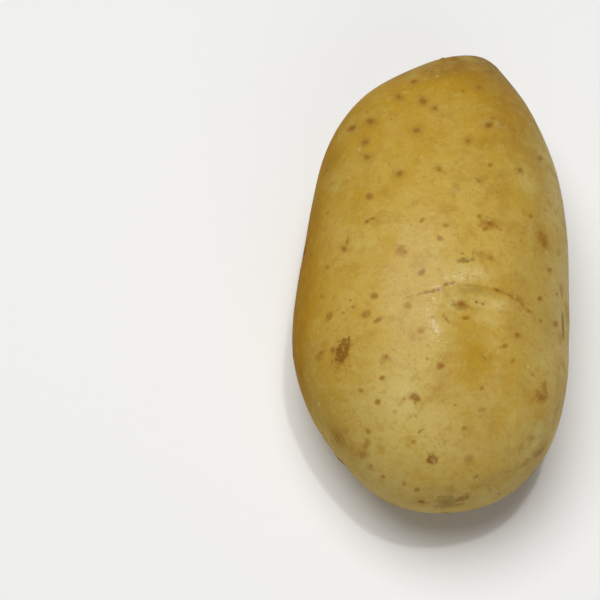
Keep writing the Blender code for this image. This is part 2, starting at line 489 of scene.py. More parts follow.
STROKES: Sequence[Stroke] = (
    Stroke(Pigment.CRACK, ((423, 293), (430, 292), (436, 290), (441, 288.5)), 1.2, 0.85),
    Stroke(Pigment.CRACK, ((443.5, 285.5), (449, 283.5), (455, 283)), 1.1, 0.8),
    # Painted shade: the darker band on the step down from the main brow's lip.
    Stroke(Pigment.BLUSH_AND_SHADE, ((465, 287), (474, 288), (486, 291), (500, 295)), 2.6, 0.4),
    Stroke(Pigment.CRACK, ((452, 305), (457, 306), (463, 304.5)), 0.7, 0.5),
    Stroke(Pigment.CRACK, ((455, 283.5), (463, 284.3), (472, 285), (481, 286.7), (491, 289)), 0.8, 0.32),
    Stroke(Pigment.CRACK, ((500, 292), (507, 294.5), (514, 298)), 0.9, 0.35),
    Stroke(Pigment.SMUDGE, ((509, 295), (515, 297.5), (521, 302)), 1.3, 0.8),
    Stroke(Pigment.SMUDGE, ((520, 302), (525, 308), (531, 312.5)), 1.3, 1.0),
    # Painted highlight: the pale band where the swell over the main brow's lip catches the light.
    Stroke(Pigment.PALE_AND_LIT, ((443, 278), (452, 276.5), (461, 276.5), (470, 278), (478, 280)), 2.8, 0.55),
    Stroke(Pigment.OLIVE, ((474.5, 249), (473, 254), (474, 258)), 0.8, 0.4),
    Stroke(Pigment.CRACK, ((404, 299), (414, 296), (424, 293)), 0.6, 0.4),
)

# The main brow, over the eye that faces the camera, and the hollow under it.
MAIN_BROW_PX: Sequence[tuple[float, float]] = (
    (448, 285.6), (456, 284.3), (464, 284), (472, 284.5), (481, 286),
    (490, 288.5), (499, 291.5), (507, 295), (515, 299),
)

# The other eyes, which the photo hides: a point near each in mm, and its width in mm.
HIDDEN_EYES_MM: Sequence[tuple[float, float, float, float]] = (
    (-26.3, 26.8, 15.7, 14.0),
    (22.1, 21.1, 7.6, 15.0),
    (-23.2, -3.6, 5.1, 14.0),
    (-1.6, 44.9, 6.8, 12.0),
    (5.8, -27.4, 2.3, 13.0),
    (25.5, -36.4, 15.9, 11.0),
    (-18.8, -43.1, 16.5, 10.0),
    (4.5, -51.0, 13.9, 9.0),
)

# The stem scar: a point near it in mm, its marks and its dents. A mark has its pigment, length
# and width in mm, turn and tone, and a dent its height and radius in mm.
STEM_SCAR_MM = (9.0, 59.2, 23.5)
STEM_SCAR_MARKS: Sequence[tuple[Pigment, float, float, float, float]] = (
    (Pigment.TAN, 20.0, 17.0, 0.0, 0.9), (Pigment.SMUDGE, 13.0, 11.0, 0.0, 1.0),
    (Pigment.SCAB, 7.6, 6.6, 0.0, 1.0), (Pigment.CRACK, 3.4, 2.8, 30.0, 1.0),
)
STEM_SCAR_DENTS: Sequence[Span] = ((-1.3, 4.2), (0.9, 1.6))

# What a scattered patch may be. A row has the draw, from 0 to 1, under which it is that one, and
# its marks, each with its pigment, its length and width in mm at size 1, and its tone.
PATCHES: Sequence[tuple[float, Sequence[tuple[Pigment, float, float, float]]]] = (
    (0.30, ((Pigment.SCAB, 3.2, 1.9, 0.8), (Pigment.SMUDGE, 5.0, 3.4, 0.7))),
    (0.65, ((Pigment.SMUDGE, 7.0, 4.0, 0.6),)),
    (0.85, ((Pigment.BLUSH_AND_SHADE, 11.0, 6.0, 0.6),)),
    (1.00, ((Pigment.FLAKE, 1.8, 0.9, 0.6),)),
)

# Swells and dents that the photo shows: across and down in pixels, height and radius in mm.
SEEN_DENTS: Sequence[tuple[float, float, float, float]] = (
    (440.0, 60.0, 0.7, 1.2), (453.0, 58.0, 0.5, 1.0), (446.5, 60.0, -0.4, 0.7),
    (435.5, 327.0, 0.45, 7.0),
)


@dataclass
class Brow:
    """The ledge over an eye: a lip, a step down towards the bud, and a shallow trough.

    Args:
        path: points along the lip, on the skin.
        downhill: unit vectors across the lip, towards the bud end, one for each point.
        lip_mm: how far the lip stands proud.
        drop_mm: how deep the trough under it is.
        step_mm: how wide the step between them is.
        rise_mm: how far the swell behind the lip reaches.
        trough_mm: how far the trough reaches.
        lean: how far its strongest place moves along the lip; 1 keeps it in the middle.
        sharpness: how quickly it fades towards its ends.
        fade: how many of its reaches away it no longer matters.
    """

    path: Array
    downhill: Array
    lip_mm: float = 0.40
    drop_mm: float = 0.40
    step_mm: float = 2.1
    rise_mm: float = 4.0
    trough_mm: float = 3.0
    lean: float = 1.1
    sharpness: float = 1.3
    fade: float = 3.0

    def reach(self) -> float:
        """How far from the lip the brow can matter."""
        return self.fade * max(self.rise_mm, self.trough_mm) * MM

    def lift(self, points: Array) -> Array:
        """How far the brow lifts each point, in metres.

        Args:
            points: places on the skin.

        Returns:
            One height for each point.
        """
        gaps = np.linalg.norm(points[:, None, :] - self.path[None, :, :], axis=2)
        near = gaps.argmin(axis=1)
        offset = points - self.path[near]
        side = np.einsum("ij,ij->i", offset, self.downhill[near]) / MM
        beyond = np.sqrt(np.maximum((gaps.min(axis=1) / MM) ** 2 - side**2, 0.0))
        share = near / (len(self.path) - 1)
        taper = np.sin(math.pi * share**self.lean) ** self.sharpness
        taper = taper * np.exp(-((beyond / self.step_mm) ** 2))
        swell = self.lip_mm * np.exp(-((np.minimum(side, 0.0) / self.rise_mm) ** 2))
        under = np.maximum(side - self.step_mm, 0.0)
        trough = -self.drop_mm * np.exp(-((under / self.trough_mm) ** 2))
        step = ease(side / self.step_mm)
        return taper * (swell * (1.0 - step) + trough * step) * MM


@dataclass(frozen=True)
class PoreHabit:
    """How the photo's pores vary round their listed widths.

    Args:
        growth: by how much they are laid wider than listed.
        turns: between which angles their longer ways lie, in degrees.
        stretches: how long they are, over their width.
        fades: how their strength varies.
        tone: how strong one without a width would be.
        tone_per_mm: how much stronger a wider one is.
        most_tone: how strong one can be.
        ringed_px: above which row of the view a pore may have a soft ring.
        ringed_mm: above which width it then has one.
        ring: the ring's length and width, over the pore's width.
        ring_tone: how strong the ring is.
    """

    growth: float = 1.12
    turns: Span = (-40.0, 60.0)
    stretches: Span = (1.0, 1.5)
    fades: Span = (0.8, 1.1)
    tone: float = 0.33
    tone_per_mm: float = 0.38
    most_tone: float = 0.95
    ringed_px: float = 190.0
    ringed_mm: float = 1.0
    ring: Span = (3.6, 3.0)
    ring_tone: float = 0.75


@dataclass(frozen=True)
class EyeHabit:
    """How an eye that the photo hides is laid out. Shares are of the eye's width.

    Args:
        points: how many points the lip of its brow has.
        span: the share that is half the lip's length.
        setback: the share by which the lip lies behind the eye's middle.
        sweep: how much of that the lip's ends lose.
        full_mm: the width at which the sizes in millimetres hold.
        lip_mm: how far the lip stands proud.
        drop_mm: how deep the trough under it is.
        step_mm: how wide the step between them is.
        rise_mm: how far the swell behind the lip reaches.
        trough_mm: how far the trough reaches.
        stride: every how many of the lip's points its lines have one.
        lines: each line along the lip, with the points that it leaves out at either end, its
            width in millimetres and its tone.
        buds: each mark in the middle, with the shares that are its length and width, and its tone.
        pore_mm: the length and width of the two pores.
        pore_turns: their longer ways, in degrees; the sign also chooses each one's side.
        pore_aside: the share by which they lie beside the middle.
        pore_ahead: the share by which they lie before it.
        pore_tone: how strong they are.
    """

    points: int = 49
    span: float = 0.42
    setback: float = 0.20
    sweep: float = 0.7
    full_mm: float = 20.0
    lip_mm: float = 0.7
    drop_mm: float = 0.9
    step_mm: float = 1.6
    rise_mm: float = 4.0
    trough_mm: float = 3.4
    stride: int = 8
    lines: Sequence[tuple[Pigment, int, float, float]] = (
        (Pigment.TAN, 4, 3.2, 0.8), (Pigment.CRACK, 8, 1.0, 0.7),
    )
    buds: Sequence[tuple[Pigment, float, float, float]] = (
        (Pigment.SCAB, 0.16, 0.08, 0.9), (Pigment.SMUDGE, 0.34, 0.16, 0.8),
    )
    pore_mm: Span = (1.1, 0.8)
    pore_turns: Span = (-35.0, 25.0)
    pore_aside: float = 0.1
    pore_ahead: float = 0.05
    pore_tone: float = 0.9


@dataclass(frozen=True)
class Scatter:
    """What is scattered over the sides that the photo hides.

    Args:
        pores: how many pores there are.
        patches: how many scabs, smudges, blushes and flakes there are.
        apart_mm: how near to each other two of them may lie.
        most_facing: how far the skin under them may face the camera, as a cosine.
        widths_mm: between which widths they are.
        stretches: how long they are, over their width.
        turns: between which angles their longer ways lie, in degrees.
        tones: how strong the pores are.
        kinds: the draw that chooses what a patch is.
    """

    pores: int = 270
    patches: int = 44
    apart_mm: float = 3.6
    most_facing: float = 0.12
    widths_mm: Span = (0.8, 1.6)
    stretches: Span = (1.0, 1.6)
    turns: Span = (-90.0, 90.0)
    tones: Span = (0.55, 1.0)
    kinds: Span = (0.0, 1.0)


@dataclass
class SkinMaker:
    """Places every brow and mark on the solid.

    Args:
        solid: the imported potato.
        lens: the camera, through which the photo's marks are placed.
        seed: where the random marks start.
        habit: how the photo's pores vary.
        eye: how the hidden eyes are laid out.
        scatter: what is scattered over the hidden sides.
        least_shown: how narrow a slanting view may show one of the photo's marks.
        overlap: how long each mark of a line is, over its step.
        brow_points: how many points the lip of the main brow has.
        marks: the marks laid so far.
        brows: the brows laid so far.
        dents: the swells and dents laid so far, with height and radius in millimetres.
    """

    solid: Solid
    lens: Lens
    seed: int = 7
    habit: PoreHabit = PoreHabit()
    eye: EyeHabit = EyeHabit()
    scatter: Scatter = Scatter()
    least_shown: float = 0.6
    overlap: float = 1.8
    brow_points: int = 97
    marks: list[Mark] = field(default_factory=list)
    brows: list[Brow] = field(default_factory=list)
    dents: list[tuple[Array, float, float]] = field(default_factory=list)

    def __post_init__(self) -> None:
        """Start the random numbers."""
        self.random = np.random.default_rng(self.seed)

    def add(self, pigment: Pigment, spot: Spot, sizes: Span, turn: float, tone: float,
            least: float = 1.0) -> None:
        """Lay one mark on the skin.

        Args:
            pigment: what it is made of.
            spot: a surface point and the direction out of it.
            sizes: its length and width, in millimetres.
            turn: its longer way, in degrees up from the view's right.
            tone: how strong it is.
            least: how narrow a slanting view may show it; 1 gives it its sizes on the skin.
        """
        centre, normal = spot
        right, up, back = self.lens.axes()
        cos, sin = math.cos(math.radians(turn)), math.sin(math.radians(turn))
        facing = float(normal @ back)
        slope, inward = unit(back - normal * facing), unit(back * facing - normal)
        level = np.cross(normal, slope)
        forth, aside = (
            (slope * (way @ inward) * max(facing, least) + level * (way @ level)) * 2.0
            / (size_mm * MM)
            for way, size_mm in zip((right * cos + up * sin, up * cos - right * sin), sizes)
        )
        self.marks.append(Mark(pigment, centre, normal, forth, aside, tone))

    def add_seen_pores(self) -> None:
        """Lay the photo's pores, uneven in shape and tone, with soft rings at the stem end."""
        habit = self.habit
        lows, highs = zip(habit.turns, habit.stretches, habit.fades)
        for across_px, down_px, width_mm in (*STEM_END_PORES, *MIDDLE_PORES, *BUD_END_PORES):
            spot = self.solid.seen(self.lens, across_px, down_px)
            turn, stretch, fade = self.random.uniform(lows, highs)
            if spot is None:
                continue
            tone = min(habit.most_tone, fade * (habit.tone + habit.tone_per_mm * width_mm))
            sizes = (habit.growth * width_mm * stretch, habit.growth * width_mm)
            self.add(Pigment.PORE, spot, sizes, turn, tone, self.least_shown)
            if down_px < habit.ringed_px and width_mm > habit.ringed_mm:
                ring = (habit.ring[0] * width_mm, habit.ring[1] * width_mm)
                self.add(Pigment.TAN, spot, ring, turn, habit.ring_tone, self.least_shown)

    def add_seen_marks(self) -> None:
        """Lay the photo's larger marks."""
        for pigment, rows in SEEN_MARKS.items():
            for mark in (Seen(*row) for row in rows):
                spot = self.solid.seen(self.lens, mark.across_px, mark.down_px)
                if spot is not None:
                    sizes = (mark.length_mm, mark.width_mm)
                    self.add(pigment, spot, sizes, mark.turn, mark.tone, self.least_shown)

    def add_strokes(self) -> None:
        """Lay the photo's thin lines."""
        for stroke in STROKES:
            spots = [self.solid.seen(self.lens, *pixel) for pixel in stroke.path_px]
            places = [spot[0] for spot in spots if spot is not None]
            self.add_line(stroke.pigment, places, stroke.width_mm, stroke.tone)

    def add_line(self, pigment: Pigment, places: Sequence[Array], width_mm: float,
                 tone: float) -> None:
        """Lay a thin line as a chain of marks, each reaching into the next.

        Args:
            pigment: what it is made of.
            places: points on or near the skin that it runs through.
            width_mm: its width.
            tone: how strong it is.
        """
        for one, other in zip(places, places[1:]):
            middle, normal = self.solid.nearest((one + other) / 2.0)
            span = other - one
            along = unit(span - normal * (span @ normal))
            forth = along * 2.0 / (self.overlap * np.linalg.norm(span))
            aside = np.cross(normal, along) * 2.0 / (width_mm * MM)
            self.marks.append(Mark(pigment, middle, normal, forth, aside, tone))

    def add_main_brow(self) -> None:
        """Lay the brow over the eye that faces the camera."""
        spots = [self.solid.seen(self.lens, *pixel) for pixel in MAIN_BROW_PX]
        corners = np.array([spot[0] for spot in spots])
        fine = np.linspace(0.0, len(corners) - 1.0, self.brow_points)
        path = np.column_stack([np.interp(fine, np.arange(len(corners)), way) for way in corners.T])
        self.brows.append(self.brow_on(path))

    def brow_on(self, path: Array, **sizes: float) -> Brow:
        """A brow whose lip follows a path.

        Args:
            path: points near the skin, along the lip.
            sizes: the brow's own sizes.

        Returns:
            The brow.
        """
        laid = [self.solid.nearest(point) for point in path]
        places = np.array([place for place, _ in laid])
        normals = np.array([normal for _, normal in laid])
        along = unit(np.gradient(places, axis=0))
        downhill = unit(np.cross(along, normals))
        downhill *= np.where(downhill[:, 1:2] > 0.0, -1.0, 1.0)
        return Brow(places, downhill, **sizes)

    def add_seen_dents(self) -> None:
        """Lay the bumps and the nick on the stem tip's rim, and the swell under the highlight."""
        for across_px, down_px, height_mm, radius_mm in SEEN_DENTS:
            spot = self.solid.seen(self.lens, across_px, down_px)
            if spot is not None:
                self.dents.append((spot[0], height_mm, radius_mm))

    def add_hidden_eyes(self) -> None:
        """Lay a brow and a few bud marks at each eye that the photo hides."""
        eye = self.eye
        for *near_mm, width_mm in HIDDEN_EYES_MM:
            centre, normal = self.solid.nearest(np.array(near_mm) * MM)
            sideways = unit(np.cross(normal, (0.0, 1.0, 0.0)))
            back = np.cross(sideways, normal)
            share = np.linspace(-1.0, 1.0, eye.points)
            span = eye.span * width_mm * MM
            behind = eye.setback * width_mm * MM * (1.0 - eye.sweep * share**2)
            path = centre + np.outer(share * span, sideways) + np.outer(behind, back)
            scale = width_mm / eye.full_mm
            brow = self.brow_on(
                path, lip_mm=eye.lip_mm * scale, drop_mm=eye.drop_mm * scale,
                step_mm=eye.step_mm * scale, rise_mm=eye.rise_mm * scale,
                trough_mm=eye.trough_mm * scale,
            )
            self.brows.append(brow)
            for pigment, inset, line_mm, tone in eye.lines:
                places = brow.path[inset:-inset:eye.stride]
                self.add_line(pigment, places, line_mm * scale, tone)
            for pigment, long, wide, tone in eye.buds:
                self.add(pigment, (centre, normal), (long * width_mm, wide * width_mm), 0.0, tone)
            for turn in eye.pore_turns:
                aside = centre + sideways * math.copysign(eye.pore_aside * width_mm * MM, turn)
                spot = self.solid.nearest(aside - back * eye.pore_ahead * width_mm * MM)
                self.add(Pigment.PORE, spot, eye.pore_mm, turn, eye.pore_tone)

    def add_stem_scar(self) -> None:
        """Lay the corky ring and stub where the potato broke from its plant."""
        spot = self.solid.nearest(np.array(STEM_SCAR_MM) * MM)
        for height_mm, radius_mm in STEM_SCAR_DENTS:
            self.dents.append((spot[0], height_mm, radius_mm))
        for pigment, length_mm, width_mm, turn, tone in STEM_SCAR_MARKS:
            self.add(pigment, spot, (length_mm, width_mm), turn, tone)

    def add_hidden_marks(self) -> None:
        """Scatter pores and patches over the sides that the photo hides."""
        plan = self.scatter
        lows, highs = zip(plan.widths_mm, plan.stretches, plan.turns, plan.tones, plan.kinds)
        eye = self.lens.position()
        placed: list[Array] = []
        while len(placed) < plan.pores + plan.patches:
            way = unit(self.random.normal(size=3))
            place, normal = self.solid.nearest(self.solid.wrap(way[None, :])[0])
            width_mm, stretch, turn, tone, kind = self.random.uniform(lows, highs)
            facing = normal @ unit(eye - place)
            crowded = any(np.linalg.norm(place - other) < plan.apart_mm * MM for other in placed)
            if facing > plan.most_facing or crowded:
                continue
            if len(placed) < plan.pores:
                self.add(Pigment.PORE, (place, normal), (width_mm * stretch, width_mm), turn, tone)
            else:
                self.add_patch((place, normal), width_mm, turn, kind)
            placed.append(place)

    def add_patch(self, spot: Spot, size: float, turn: float, kind: float) -> None:
        """Lay one larger random mark, or two that belong together.

        Args:
            spot: a surface point and the direction out of it.
            size: a size near 1.
            turn: its longer way, in degrees.
            kind: the draw that chooses what it is.
        """
        marks = next(marks for most, marks in PATCHES if kind < most)
        for pigment, length_mm, width_mm, tone in marks:
            self.add(pigment, spot, (length_mm * size, width_mm * size), turn, tone)

    def dress(self) -> None:
        """Lay everything."""
        self.add_main_brow()
        self.add_seen_dents()
        self.add_hidden_eyes()
        self.add_stem_scar()
        self.add_seen_pores()
        self.add_seen_marks()
        self.add_strokes()
        self.add_hidden_marks()


@dataclass
class Skin:
    """The potato's skin, as one fine closed mesh.

    Args:
        solid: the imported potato, which the skin is wrapped on.
        maker: what holds the brows and marks.
        cells: cells along each side of the cube that the mesh starts from.
        smoothings: rounds that ease the solid's facets away.
        lump_mm: height of the body's uneven swells.
        dimple_mm: height of the skin's fine unevenness.
        lump_size_mm: how wide the swells are.
        knob_size_mm: how wide the smaller swells among them are.
        knob_share: how high those are, over the others' height.
        dimple_size_mm: how wide the fine unevenness is.
        fine_share: how far round a small mark the cells are split, over its size.
        fine_mm: how far at most.
        brow_fine: every how many points of the main brow's lip the cells are split, and how far
            round in millimetres, for each round of splitting.
        mark_reach: how far round a mark its shape is written, over its size.
        mark_rise: how steeply a mark's relief rises from its edge.
        tip_from_mm: where along the potato its stem tip starts to narrow.
        tip_over_mm: over what length it does so.
        tip_middle_mm: the stem tip's middle, from the row's middle to the right.
        left_taper: by how much its left side narrows.
        right_taper: by how much its right side narrows.
    """

    solid: Solid
    maker: SkinMaker
    cells: int = 94
    smoothings: int = 18
    lump_mm: float = 0.16
    dimple_mm: float = 0.035
    lump_size_mm: float = 13.0
    knob_size_mm: float = 5.0
    knob_share: float = 0.3
    dimple_size_mm: float = 1.6
    fine_share: float = 0.62
    fine_mm: float = 2.2
    brow_fine: Sequence[tuple[int, float]] = ((6, 4.5), (4, 2.2))
    mark_reach: float = 1.3
    mark_rise: float = 1.5
    tip_from_mm: float = 43.0
    tip_over_mm: float = 14.0
    tip_middle_mm: float = 5.0
    left_taper: float = 0.18
    right_taper: float = 0.14

    def build(self) -> bpy.types.Object:
        """Make the skin and its attributes.

        Returns:
            The finished piece, with no material.
        """
        cage = self.wrapped_cage()
        self.refine(cage)
        cage.normal_update()
        points = np.array([vertex.co for vertex in cage.verts])
        normals = np.array([vertex.normal for vertex in cage.verts])
        mesh = bpy.data.meshes.new("potato_skin")
        cage.to_mesh(mesh)
        cage.free()
        lift = self.uneven(points) + self.brow_lift(points) + self.paint(mesh, points)
        lift += self.dent_lift(points)
        points = points + normals * lift[:, None]
        narrowing = ease((points[:, 1] / MM - self.tip_from_mm) / self.tip_over_mm)
        aside = points[:, 0] - self.tip_middle_mm * MM
        taper = np.where(aside < 0.0, self.left_taper, self.right_taper)
        points[:, 0] -= aside * taper * narrowing
        points[:, 2] = np.maximum(points[:, 2], 0.0)
        mesh.vertices.foreach_set("co", points.astype(np.float32).ravel())
        mesh.update()
        mesh.shade_smooth()
        skin = bpy.data.objects.new("potato_skin", mesh)
        bpy.context.scene.collection.objects.link(skin)
        return skin

    def wrapped_cage(self) -> bmesh.types.BMesh:
        """A fine cube, rounded, wrapped on the solid and eased smooth.

        Returns:
            The mesh, for the caller to free.
        """
        cage = bmesh.new()
        bmesh.ops.create_cube(cage, size=2.0)
        bmesh.ops.subdivide_edges(
            cage, edges=cage.edges[:], cuts=self.cells - 1, use_grid_fill=True
        )
        cube = np.array([vertex.co for vertex in cage.verts])
        points = self.solid.wrap(unit(np.tan(cube * math.pi / 4.0)))
        ends = np.array([[vertex.index for vertex in edge.verts] for edge in cage.edges])
        count = np.bincount(ends.ravel(), minlength=len(points))[:, None]
        for _ in range(self.smoothings):
            total = np.zeros_like(points)
            for axis in range(3):
                total[:, axis] += np.bincount(
                    ends[:, 0], points[ends[:, 1], axis], len(points)
                ) + np.bincount(ends[:, 1], points[ends[:, 0], axis], len(points))
            points = 0.5 * points + 0.5 * total / count
        for vertex, point in zip(cage.verts, points):
            vertex.co = point
        return cage

    def refine(self, cage: bmesh.types.BMesh) -> None:
        """Split the cells under small marks and brows, where fine relief needs them.

        Args:
            cage: the mesh to refine.
        """
        small = [mark for mark in self.maker.marks if not STAINS[mark.pigment].deep]
        most = self.fine_mm * MM
        self.split(cage, [(mark.centre, min(self.fine_share * mark.size(), most)) for mark in small])
        path = self.maker.brows[0].path
        for stride, radius_mm in self.brow_fine:
            self.split(cage, [(place, radius_mm * MM) for place in path[::stride]])

    @staticmethod
    def split(cage: bmesh.types.BMesh, balls: Sequence[tuple[Array, float]]) -> None:
        """Split each cell whose middle lies in one of some balls.

        Args:
            cage: the mesh to refine.
            balls: the balls' centres and radii.
        """
        cage.faces.ensure_lookup_table()
        tree = KDTree(len(cage.faces))
        for face in cage.faces:
            tree.insert(face.calc_center_median(), face.index)
        tree.balance()
        chosen = {
            index for centre, radius in balls
            for _, index, _ in tree.find_range(Vector(centre), radius)
        }
        edges = {edge for index in chosen for edge in cage.faces[index].edges}
        bmesh.ops.subdivide_edges(cage, edges=list(edges), cuts=1, use_grid_fill=True)
        cage.verts.index_update()
        cage.faces.index_update()

    def uneven(self, points: Array) -> Array:
        """The body's slight lumps and the skin's fine unevenness.

        Args:
            points: places on the skin.

        Returns:
            How far each point is lifted, in metres.
        """
        octaves = (
            (self.lump_size_mm, self.lump_mm),
            (self.knob_size_mm, self.knob_share * self.lump_mm),
            (self.dimple_size_mm, self.dimple_mm),
        )
        lift = np.zeros(len(points))
        for size_mm, height_mm in octaves:
            spread = points / (size_mm * MM)
            lift += height_mm * np.array([noise.noise(Vector(place)) for place in spread])
        return lift * MM

    def brow_lift(self, points: Array) -> Array:
        """The relief of the brows.

        Args:
            points: places on the skin.

        Returns:
            How far each point is lifted, in metres.
        """
        lift = np.zeros(len(points))
        for brow in self.maker.brows:
            middle = brow.path[len(brow.path) // 2]
            span = np.linalg.norm(brow.path[0] - brow.path[-1]) / 2.0
            close = np.linalg.norm(points - middle, axis=1) < span + brow.reach()
            lift[close] += brow.lift(points[close])
        return lift

    def dent_lift(self, points: Array) -> Array:
        """The relief of the swells and dents.

        Args:
            points: places on the skin.

        Returns:
            How far each point is lifted, in metres.
        """
        lift = np.zeros(len(points))
        for centre, height_mm, radius_mm in self.maker.dents:
            gap = np.linalg.norm(points - centre, axis=1) / (radius_mm * MM)
            lift += height_mm * MM * np.exp(-(gap**2))
        return lift

    def paint(self, mesh: bpy.types.Mesh, points: Array) -> Array:
        """Write each pigment's shape and tone as attributes.

        Args:
            mesh: the mesh that gets them.
            points: its vertices.

        Returns:
            How far the marks lift each point, in metres.
        """
        tree = KDTree(len(points))
        for index, place in enumerate(points):
            tree.insert(Vector(place), index)
        tree.balance()
        lift = np.zeros(len(points))
        for pigment, stain in STAINS.items():
            shape = np.full(len(points), FAR)
            tone = np.zeros(len(points))
            for mark in (mark for mark in self.maker.marks if mark.pigment is pigment):
                found = tree.find_range(Vector(mark.centre), self.mark_reach * mark.size())
                near = np.array([index for _, index, _ in found], int)
                if len(near) == 0:
                    continue
                depth = mark.shape(points[near])
                deeper = depth > shape[near]
                shape[near[deeper]] = depth[deeper]
                tone[near[deeper]] = mark.tone
            lift += stain.relief_mm * MM * tone * ease(shape * self.mark_rise)
            self.write(mesh, pigment.value + "_shape", shape)
            self.write(mesh, pigment.value + "_tone", tone)
        return lift

    @staticmethod
    def write(mesh: bpy.types.Mesh, name: str, values: Array) -> None:
        """Store one value for each vertex as an attribute."""
        layer = mesh.attributes.new(name, "FLOAT", "POINT")
        layer.data.foreach_set("value", values.astype(np.float32))


class Graph:
    """A material's nodes, with short ways to add the few kinds used here."""

    def __init__(self, name: str) -> None:
        """Start a new material with a shader and its output.

        Args:
            name: the material's name.
        """
        self.material = bpy.data.materials.new(name)
        self.material.use_nodes = True
        self.tree = self.material.node_tree
        self.shader = self.tree.nodes["Principled BSDF"]
        self.place: Optional[Socket] = None

    def feed(self, socket: Socket, source: "Socket | float | Colour") -> None:
        """Give an input a link, a number or a colour.

        Args:
            socket: the input.
            source: the output to link it to, or its own value.
        """
        if isinstance(source, bpy.types.NodeSocket):
            self.tree.links.new(source, socket)
        elif isinstance(source, tuple):
            socket.default_value = (*source, 1.0)
        else:
            socket.default_value = source

    def coordinates(self) -> Socket:
        """The object's own coordinates.

        Returns:
            The place of each point, in metres.
        """
        if self.place is None:
            self.place = self.tree.nodes.new("ShaderNodeTexCoord").outputs["Object"]
        return self.place

    def slant(self, axis: str, share: float) -> Socket:
        """How far the surface faces along one of the object's axes, times a share.

        Args:
            axis: "X", "Y" or "Z".
            share: what to multiply it by.

        Returns:
            The value, from minus share to share.
        """
        split = self.tree.nodes.new("ShaderNodeSeparateXYZ")
        source = self.tree.nodes.new("ShaderNodeTexCoord").outputs["Normal"]
        self.feed(split.inputs["Vector"], source)
        return self.reckon("MULTIPLY", split.outputs[axis], share)

    def noise(self, size_mm: float, detail: float = 2.0, rough: float = 0.5) -> Socket:
        """Smooth noise from 0 to 1.

        Args:
            size_mm: the size of its largest blobs.
            detail: how many finer layers it has.
            rough: how strong those are.

        Returns:
            The noise.
        """
        node = self.tree.nodes.new("ShaderNodeTexNoise")
        self.feed(node.inputs["Vector"], self.coordinates())
        self.feed(node.inputs["Scale"], 1.0 / (size_mm * MM))
        self.feed(node.inputs["Detail"], detail)
        self.feed(node.inputs["Roughness"], rough)
        return node.outputs["Fac"]

    def attribute(self, name: str) -> Socket:
        """One of the skin's attributes.

        Args:
            name: what it is called.

        Returns:
            Its value.
        """
        node = self.tree.nodes.new("ShaderNodeAttribute")
        node.attribute_name = name
        return node.outputs["Fac"]

    def reckon(self, operation: str, *terms: "Socket | float") -> Socket:
        """The result of a math node.

        Args:
            operation: the node's operation.
            terms: its inputs.

        Returns:
            Its value.
        """
        node = self.tree.nodes.new("ShaderNodeMath")
        node.operation = operation
        for socket, term in zip(node.inputs, terms):
            self.feed(socket, term)
        return node.outputs["Value"]

    def ramp(self, value: Socket, low: float, high: float, most: "Socket | float" = 1.0) -> Socket:
        """A smooth rise from 0 to most as value goes from low to high.

        Args:
            value: what drives it.
            low: where it starts.
            high: where it ends.
            most: what it rises to.

        Returns:
            The risen value.
        """
        node = self.tree.nodes.new("ShaderNodeMapRange")
        node.interpolation_type = "SMOOTHSTEP"
        self.feed(node.inputs["Value"], value)
        self.feed(node.inputs["From Min"], low)
        self.feed(node.inputs["From Max"], high)
        self.feed(node.inputs["To Max"], most)
        return node.outputs["Result"]

    def blend(self, share: Socket, under: "Socket | Colour", over: "Socket | Colour",
              mode: str = "MIX") -> Socket:
        """One colour laid over another.

        Args:
            share: how much of the upper one shows.
            under: the lower colour.
            over: the upper colour.
            mode: how they mix.

        Returns:
            The mixed colour.
        """
        node = self.tree.nodes.new("ShaderNodeMix")
        node.data_type = "RGBA"
        node.blend_type = mode
        self.feed(node.inputs[MIX_SHARE], share)
        self.feed(node.inputs[MIX_UNDER], under)
        self.feed(node.inputs[MIX_OVER], over)
        return node.outputs[MIX_RESULT]

    def bump(self, height: Socket, depth_mm: float, under: Optional[Socket] = None) -> Socket:
        """A bumped normal.

        Args:
            height: the surface's height, from 0 to 1.
            depth_mm: how deep that is.
            under: the normal that it adds to.

        Returns:
            The normal.
        """
        node = self.tree.nodes.new("ShaderNodeBump")
        self.feed(node.inputs["Height"], height)
        self.feed(node.inputs["Distance"], depth_mm * MM)
        if under is not None:
            self.feed(node.inputs["Normal"], under)
        return node.outputs["Normal"]


@dataclass(frozen=True)
class Mottle:
    """One layer of uneven colour all over the skin.

    Args:
        size_mm: the size of its blobs.
        detail: how many finer layers it has.
        low: the noise at which it starts.
        high: the noise at which it is full.
        share: how much of the ground it hides there.
        colour: its linear colour.
    """

    size_mm: float
    detail: float
    low: float
    high: float
    share: float
    colour: Colour

    def lay(self, graph: "Graph", colour: Socket) -> Socket:
        """The ground with this layer over it.

        Args:
            graph: the material's nodes.
            colour: the ground.

        Returns:
            The mottled colour.
        """
        blobs = graph.noise(self.size_mm, self.detail, BLOTCHY)
        return graph.blend(graph.ramp(blobs, self.low, self.high, self.share), colour, self.colour)


